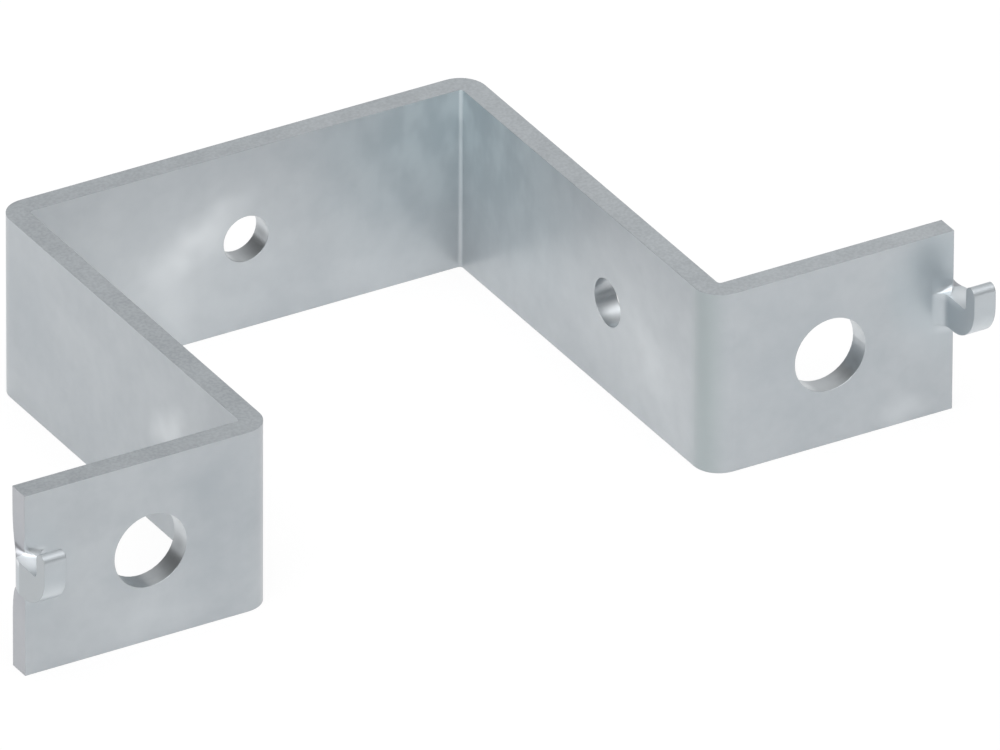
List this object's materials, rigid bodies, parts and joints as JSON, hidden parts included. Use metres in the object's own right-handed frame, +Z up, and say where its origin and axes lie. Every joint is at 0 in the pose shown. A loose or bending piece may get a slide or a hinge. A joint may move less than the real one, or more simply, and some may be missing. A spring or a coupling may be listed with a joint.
{
  "type": "fence post u-bracket",
  "caption": "U-shaped steel bracket for a square fence post, with a drilled flange at each side and an upward hook at each end that holds a wire of the fence.",
  "frame": {"origin": "midway between the two flange holes, on the front face of the flanges", "axes": "+X along the flanges towards the leg with a hole, +Y back into the U towards its web, +Z up along the post, the way the hooks open"},
  "size_m": [0.133, 0.0705, 0.025],
  "materials": {
    "galvanised_steel": "galvanised, matt cool light grey with soft zinc blotches"
  },
  "bodies": {
    "root": {"bracket": "galvanised_steel"}
  },
  "joints": []
}
